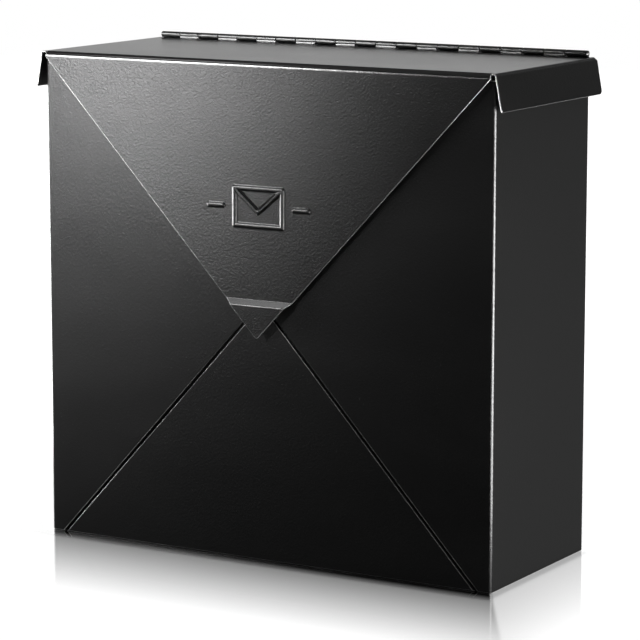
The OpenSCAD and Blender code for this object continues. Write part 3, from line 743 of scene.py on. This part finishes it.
class Graph:
    def __init__(self, owner):
        owner.use_nodes = True
        self.tree = owner.node_tree
        self.tree.nodes.clear()

    # A node of any type: its settings, its socket values or links, and which output to use
    def add(self, kind, settings, sockets, output=0):
        node = self.tree.nodes.new(kind)
        for name, value in settings.items():
            setattr(node, name, value)
        for name, value in sockets.items():
            socket = node.inputs[name]
            if isinstance(value, Wire):
                self.tree.links.new(value.socket, socket)
            else:
                socket.default_value = value
        return Wire(self, node.outputs[output]) if len(node.outputs) else node

    # Some of one node's outputs, by name or number
    def outputs(self, wire, *names):
        return [Wire(self, wire.socket.node.outputs[name]) for name in names]

    def position(self):
        return self.add("ShaderNodeTexCoord", {}, {}, "Object")

    def edge(self):
        return self.add("ShaderNodeAttribute", {"attribute_name": "edge"}, {}, "Fac")

    def parts(self, vector):
        return self.outputs(self.add("ShaderNodeSeparateXYZ", {}, {0: vector}), 0, 1, 2)

    def rays(self, *names):
        return self.outputs(self.add("ShaderNodeLightPath", {}, {}), *names)

    def noise(self, position, scale, detail=2.0, roughness=0.5, distortion=0.0):
        sockets = {"Vector": position, "Scale": scale, "Detail": detail, "Roughness": roughness,
                   "Distortion": distortion}
        return self.add("ShaderNodeTexNoise", {}, sockets)

    # A smooth rise from 0 to 1 between two values
    def rise(self, value, low, high):
        sockets = {"Value": value, "From Min": low, "From Max": high}
        return self.add("ShaderNodeMapRange", {"interpolation_type": "SMOOTHSTEP"}, sockets)

    def larger(self, first, second):
        return self.add("ShaderNodeMath", {"operation": "MAXIMUM"}, {0: first, 1: second})

    def blend(self, factor, first, second):
        return self.add("ShaderNodeMix", {"data_type": "RGBA"}, {0: factor, 6: first, 7: second}, 2)

    def stretched(self, position, scale):
        return self.add("ShaderNodeMapping", {}, {"Vector": position, "Scale": scale})

    # A bump of a depth in metres, alone or on top of another
    def bump(self, height, depth, **under):
        return self.add("ShaderNodeBump", {}, {"Strength": 1.0, "Distance": depth, "Height": height, **under})

    def mixed(self, factor, first, second):
        return self.add("ShaderNodeMixShader", {}, {0: factor, 1: first, 2: second})

    def surface(self, sockets):
        shader = self.add("ShaderNodeBsdfPrincipled", {}, sockets)
        self.add("ShaderNodeOutputMaterial", {}, {"Surface": shader})


def grey(value, tint=(1.0, 1.0, 1.0)):
    return (value * tint[0], value * tint[1], value * tint[2], 1.0)


def newMaterial(name):
    material = bpy.data.materials.new(name)
    return material, Graph(material)


# The powder coat: base and dust are tones, edge is the tone of the painted edge highlight; the shines are
# added to the roughness or taken off it
coat = {"base": 0.004, "edge": 0.75, "dust": 0.05, "roughness": 0.33, "peelScale": 1000.0,
        "peelDepth": 0.11 * mm, "grainScale": 1900.0, "grainDepth": 0.006 * mm, "wipeScale": (9.0, 9.0, 26.0),
        "speckScale": 900.0, "dustyScale": 30.0, "wipeShine": 0.06, "speckShine": 0.25, "highlightShine": 0.1,
        "bendShine": 0.11, "bendPeel": 0.8, "underHighlight": 0.75, "highlightMetal": 0.4, "flapPeel": 0.72,
        "lidShine": 0.02}


# Semi-gloss black powder coat: orange peel, fine grain, slight wipe marks, a few specks of dust, a painted
# highlight along its edges and a painted shade in its pressed lines
def powderCoat(name, glossier=0.0, flapPeel=0.0):
    material, graph = newMaterial(name)
    place, edge, base = graph.position(), graph.edge(), coat["base"]
    peel = graph.noise(place, coat["peelScale"], 1.5, 0.45)
    grain = graph.noise(place, coat["grainScale"], 2.0, 0.6)
    wiped = graph.noise(graph.stretched(place, coat["wipeScale"]), 1.0, 3.0, 0.55, 0.4)
    specks = graph.rise(graph.noise(place, coat["speckScale"], 0.0), 0.80, 0.84)
    specks = specks * graph.rise(graph.noise(place, coat["dustyScale"]), 0.5, 0.7)
    normalY, normalZ = graph.parts(graph.add("ShaderNodeTexCoord", {}, {}, "Normal"))[1:]
    # Cut edges and groove lips get a painted highlight of light grey, partly metallic paint, weaker where
    # they look down
    paintedEdgeHighlight = graph.rise(edge, 0.1, 0.6) * (1.0 - coat["underHighlight"] * graph.rise(-normalZ, 0.85, 0.95))
    # The pressed lines get a painted shade: black, fully metallic paint that reflects almost nothing
    paintedGrooveShade = graph.rise(-edge, 0.05, 0.6)
    # The paint levels out over bends that look up and forward
    bent = graph.rise(-normalY, 0.08, 0.3) * graph.rise(normalZ, 0.08, 0.3)
    peel = peel * (1.0 - coat["bendPeel"] * bent)
    if flapPeel:
        peel = peel * (1.0 + flapPeel * graph.rise(-normalY, 0.96, 0.99))
    tone = graph.blend(wiped, grey(base * 0.85, (1.0, 1.0, 1.03)), grey(base * 1.15, (1.02, 1.0, 0.98)))
    tone = graph.blend(paintedEdgeHighlight, tone, grey(coat["edge"]))
    tone = graph.blend(specks, tone, grey(coat["dust"], (1.0, 0.98, 0.94)))
    shine = coat["roughness"] - glossier - 0.03 + wiped * coat["wipeShine"] + specks * coat["speckShine"]
    shine = shine - paintedEdgeHighlight * coat["highlightShine"] - bent * coat["bendShine"]
    bumps = graph.bump(peel, coat["peelDepth"], Normal=graph.bump(grain, coat["grainDepth"]))
    graph.surface({"Base Color": tone, "Roughness": shine, "Metallic": paintedEdgeHighlight * coat["highlightMetal"] + paintedGrooveShade,
                   "IOR": 1.5, "Normal": bumps})
    return material


hingeStock = {"dark": 0.012, "wearAndPaintedLight": 0.024, "edge": 0.3, "roughness": 0.27, "lineDepth": 0.0012 * mm,
              "lineScale": (60.0, 1500.0, 1500.0), "patchScale": 60.0, "edgeHighlightMix": 0.6, "edgeHighlightMetal": 0.3}


# Black hinge stock: smoother, with drawing lines along the roll, rubbed knuckles and a painted highlight of
# light grey metal along its rounded edges
def hingeFinish():
    material, graph = newMaterial("black_hinge")
    place, edge = graph.position(), graph.edge()
    lines = graph.noise(graph.stretched(place, hingeStock["lineScale"]), 1.0, 2.0, 0.6)
    wearAndPaintedLight = graph.rise(graph.noise(place, hingeStock["patchScale"], 3.0, 0.6), 0.45, 0.75)
    tone = graph.blend(wearAndPaintedLight, grey(hingeStock["dark"]), grey(hingeStock["wearAndPaintedLight"], (1.0, 0.99, 0.97)))
    # A painted highlight along the rounded edges: light grey, partly metallic
    tone = graph.blend(edge * hingeStock["edgeHighlightMix"], tone, grey(hingeStock["edge"]))
    shine = hingeStock["roughness"] + lines * 0.06 - wearAndPaintedLight * 0.04
    graph.surface({"Base Color": tone, "Roughness": shine, "Metallic": edge * hingeStock["edgeHighlightMetal"],
                   "IOR": 1.36, "Normal": graph.bump(lines, hingeStock["lineDepth"])})
    return material


pinMetal = {"bright": 0.42, "stained": 0.2, "roughness": 0.27, "ringScale": (2600.0, 60.0, 60.0),
            "ringDepth": 0.003 * mm, "stainScale": 140.0}


# Bare drawn steel with turning rings and brownish stains
def pinSteel():
    material, graph = newMaterial("hinge_pin_steel")
    place = graph.position()
    rings = graph.noise(graph.stretched(place, pinMetal["ringScale"]), 1.0, 2.0)
    stains = graph.rise(graph.noise(place, pinMetal["stainScale"], 3.0), 0.5, 0.8)
    stained = grey(pinMetal["stained"], (1.0, 0.93, 0.86))
    tone = graph.blend(stains, grey(pinMetal["bright"], (1.0, 0.99, 0.97)), stained)
    shine = pinMetal["roughness"] + stains * 0.25 + rings * 0.05
    graph.surface({"Base Color": tone, "Metallic": 1.0, "Roughness": shine,
                   "Normal": graph.bump(rings, pinMetal["ringDepth"])})
    return material


rubberSkin = {"dark": 0.009, "bloom": 0.022, "roughness": 0.68, "poreScale": 2600.0, "poreDepth": 0.01 * mm,
              "bloomScale": 350.0}


# Dull rubber with fine pores and a faint bluish bloom
def rubber():
    material, graph = newMaterial("black_rubber")
    place = graph.position()
    pores = graph.noise(place, rubberSkin["poreScale"], 2.0, 0.6)
    bloom = graph.rise(graph.noise(place, rubberSkin["bloomScale"], 3.0), 0.4, 0.8)
    tone = graph.blend(bloom, grey(rubberSkin["dark"]), grey(rubberSkin["bloom"], (1.0, 1.0, 1.02)))
    graph.surface({"Base Color": tone, "Roughness": rubberSkin["roughness"] + bloom * 0.14,
                   "Normal": graph.bump(pores, rubberSkin["poreDepth"])})
    return material


finishes = {"black_powder_coat": powderCoat("black_powder_coat"),
            "lid_powder_coat": powderCoat("lid_powder_coat", coat["lidShine"], coat["flapPeel"]),
            "black_hinge": hingeFinish(), "hinge_pin_steel": pinSteel(), "black_rubber": rubber()}
for piece, finish in dressed:
    piece.data.materials.append(finishes[finish])
print("materials on", len(dressed), "pieces")


# The camera looks at the box from its right and a little from above; angles in degrees, lens in millimetres
view = {"yaw": 30.743, "pitch": 9.760, "distance": 1.9032, "right": 3.87 * mm, "height": 141.98 * mm,
        "lens": 169.55, "sensor": 36, "far": 50}


def placeCamera():
    yaw, pitch = math.radians(view["yaw"]), math.radians(view["pitch"])
    backward = Vector((math.sin(yaw) * math.cos(pitch), -math.cos(yaw) * math.cos(pitch), math.sin(pitch)))
    right = Vector((math.cos(yaw), math.sin(yaw), 0))
    data = bpy.data.cameras.new("camera")
    data.lens, data.sensor_width, data.clip_end = view["lens"], view["sensor"], view["far"]
    camera = linked("camera", data)
    camera.location = right * view["right"] + Vector((0, 0, view["height"])) + backward * view["distance"]
    camera.rotation_euler = backward.to_track_quat("Z", "Y").to_euler()
    bpy.context.scene.camera = camera


placeCamera()


# Lamps: a gridded soft box at the front left, which alone lights the paint plainly, and others for its gloss:
# a strip above the soft box for the lid's front fold, and cards for the finger pull, the corner folds at the
# right and the edges at the left. Each: place, what it faces, width, height, power, spread in degrees.
lamps = {"soft_front": ((-0.437, -0.66, 0.423), (-0.404, -0.06, 0.427), 0.09, 0.428, 2.6, 79.4),
         "fold_strip": ((-0.68, -0.7, 0.72), (-0.27, -0.06, 0.5), 0.42, 0.16, 1.8, 44.0),
         "pull_card": ((-0.302, -0.203, 0.66), (0.0, -0.07, 0.162), 0.12, 0.12, 0.22, 180.0),
         "right_card": ((0.747, -0.187, 0.135), (0.16, -0.06, 0.135), 0.4, 0.25, 9.5, 180.0),
         "left_card": ((-1.1, -0.27, 0.16), (0.0, -0.07, 0.22), 0.3, 0.3, 14.0, 180.0)}
sun = {"power": 1.05, "width": 0.5, "tilt": -2.2}  # lights the floor and the tops, and shows in no gloss

for name, (place, target, width, height, power, spread) in lamps.items():
    data = bpy.data.lights.new(name, "AREA")
    data.shape, data.size, data.size_y = "RECTANGLE", width, height
    data.energy, data.spread = power, math.radians(spread)
    lamp = linked(name, data)
    lamp.location = place
    lamp.rotation_euler = (Vector(place) - Vector(target)).to_track_quat("Z", "Y").to_euler()
    lamp.visible_camera, lamp.visible_diffuse = False, name == "soft_front"
topLight = bpy.data.lights.new("overhead", "SUN")
topLight.energy, topLight.angle = sun["power"], math.radians(sun["width"])
overhead = linked("overhead", topLight)
overhead.rotation_euler = (math.radians(sun["tilt"]), 0, 0)
overhead.visible_glossy = False

# What the gloss sees of the room: strengths behind the box (more to the left), at the right behind and in
# front, and above. ambient lights everything; mirror is how much the polished floor reflects.
room = {"ambient": 0.009, "behind": 0.08, "behindLeft": 0.95, "rightBehind": 0.45, "rightFront": 0.4,
        "above": 0.3, "mirror": 0.4}


def buildWorld():
    studio = bpy.data.worlds.new("studio")
    bpy.context.scene.world = studio
    graph = Graph(studio)
    x, y, z = graph.parts(graph.add("ShaderNodeTexCoord", {}, {}, "Generated"))
    behind = graph.rise(y, 0.2, 0.7) * graph.rise(-z, -0.38, -0.28)
    middle = 1.0 - graph.rise(z, 0.5, 0.7)
    rightBehind = graph.rise(y, 0.2, 0.5) * graph.rise(x, 0.2, 0.45) * graph.rise(z, 0.2, 0.3) * middle
    rightFront = graph.rise(-y, 0.3, 0.6) * graph.rise(x, -0.2, 0.3) * graph.rise(z, 0.05, 0.12) * middle
    glow = behind * (room["behind"] + room["behindLeft"] * graph.rise(-x, -0.35, 0.35))
    glow = glow + rightBehind * room["rightBehind"] + rightFront * room["rightFront"]
    glow = glow + graph.rise(z, 0.6, 0.85) * room["above"]
    seen, glossy, singular = graph.rays("Is Camera Ray", "Is Glossy Ray", "Is Singular Ray")
    plain = graph.larger(seen, singular / room["mirror"])
    level = plain + (1.0 - graph.larger(seen, singular)) * (glossy * glow + room["ambient"])
    background = graph.add("ShaderNodeBackground", {}, {"Color": grey(1.0), "Strength": level})
    graph.add("ShaderNodeOutputWorld", {}, {"Surface": background})


buildWorld()


# Floor: white, with a reflection of the box that fades within a hand's breadth; across and ahead are its
# reach beside and in front of the box, as parts of fade. sheen is how bright the box's gloss sees the floor:
# everywhere, beside the box, at the left (less at the rear), as a card at the right, and behind.
ground = {"top": -0.2 * mm, "left": -2.4, "right": 2.4, "front": -1.6, "rear": 3.2, "fade": 142 * mm,
          "fadePower": 1.3, "strength": 0.84, "weaker": 0.5, "paintedContactShade": 0.18, "across": 0.504, "ahead": 0.847,
          "grey": 0.8, "near": 0.76, "far": 0.24}
sheen = {"everywhere": 0.02, "beside": 0.22, "left": 25.0, "leftRear": 24.0, "card": 20.0, "rear": 0.9}


def makeFloor():
    mesh = bmesh.new()
    ends = (("left", "front"), ("right", "front"), ("right", "rear"), ("left", "rear"))
    mesh.faces.new([mesh.verts.new((ground[x], ground[y], ground["top"])) for x, y in ends])
    floor = objectFrom(mesh, "floor")
    material, graph = newMaterial("floor_white")
    place = graph.position()
    x, y = graph.parts(place)[:2]
    seen, glossy = graph.rays("Is Camera Ray", "Is Glossy Ray")
    beside = graph.rise(x, 0.158, 0.163) * graph.rise(y, -0.12, -0.07) * sheen["beside"]
    left = graph.rise(-x, 0.4, 0.45) * graph.rise(y, -0.15, -0.1)
    left = left * (sheen["left"] - sheen["leftRear"] * graph.rise(y, 0.1, 0.2))
    card = graph.rise(x, 0.28, 0.36) * graph.rise(y, -0.4, -0.34) * (1.0 - graph.rise(y, -0.06, 0.0))
    rear = graph.rise(y, 0.1, 0.4) * (1.0 - graph.rise(x, 0.1, 0.158)) * sheen["rear"]
    glow = sheen["everywhere"] + beside + left + card * sheen["card"] + rear
    ahead = (-y - body["halfDepth"]) / ground["ahead"]
    side = (x - body["halfWidth"]) / ground["across"]
    reach = graph.larger(ahead, side)
    for beyond in (y - body["halfDepth"], -x - body["halfWidth"]):
        reach = graph.larger(reach, beyond)
    weak = 1.0 - ground["weaker"] * graph.rise(side - ahead, -0.004, 0.004)
    part = graph.add("ShaderNodeMapRange", {}, {"Value": reach, "From Max": ground["fade"]})
    # A painted contact shadow: the reflection is made stronger within about 2 cm of the box, so the floor
    # darkens at its foot
    paintedContactShade = 1.0 - graph.rise(reach, 0.003, 0.022)
    fade = weak * (ground["strength"] * (1.0 - part ** ground["fadePower"]) + ground["paintedContactShade"] * paintedContactShade)
    away = graph.add("ShaderNodeVectorMath", {"operation": "LENGTH"}, {0: place}, "Value")
    white = seen * (ground["near"] + ground["far"] * graph.rise(away, 0.3, 0.6))
    lit = graph.add("ShaderNodeBsdfDiffuse", {}, {"Color": grey(ground["grey"])})
    white = graph.add("ShaderNodeEmission", {}, {"Color": grey(1.0), "Strength": white})
    plain = graph.add("ShaderNodeAddShader", {}, {0: lit, 1: white})
    mirror = graph.add("ShaderNodeBsdfAnisotropic", {}, {"Color": grey(room["mirror"]), "Roughness": 0.0})
    reflected = graph.add("ShaderNodeEmission", {}, {"Color": grey(1.0), "Strength": glow})
    above = graph.mixed(glossy, graph.mixed(fade * seen, plain, mirror), reflected)
    fromBelow = graph.add("ShaderNodeNewGeometry", {}, {}, "Backfacing")
    clear = graph.add("ShaderNodeBsdfTransparent", {}, {})
    graph.add("ShaderNodeOutputMaterial", {}, {"Surface": graph.mixed(fromBelow, above, clear)})
    floor.data.materials.append(material)


makeFloor()
bpy.context.scene.view_settings.view_transform = "Standard"
print("scene lit")
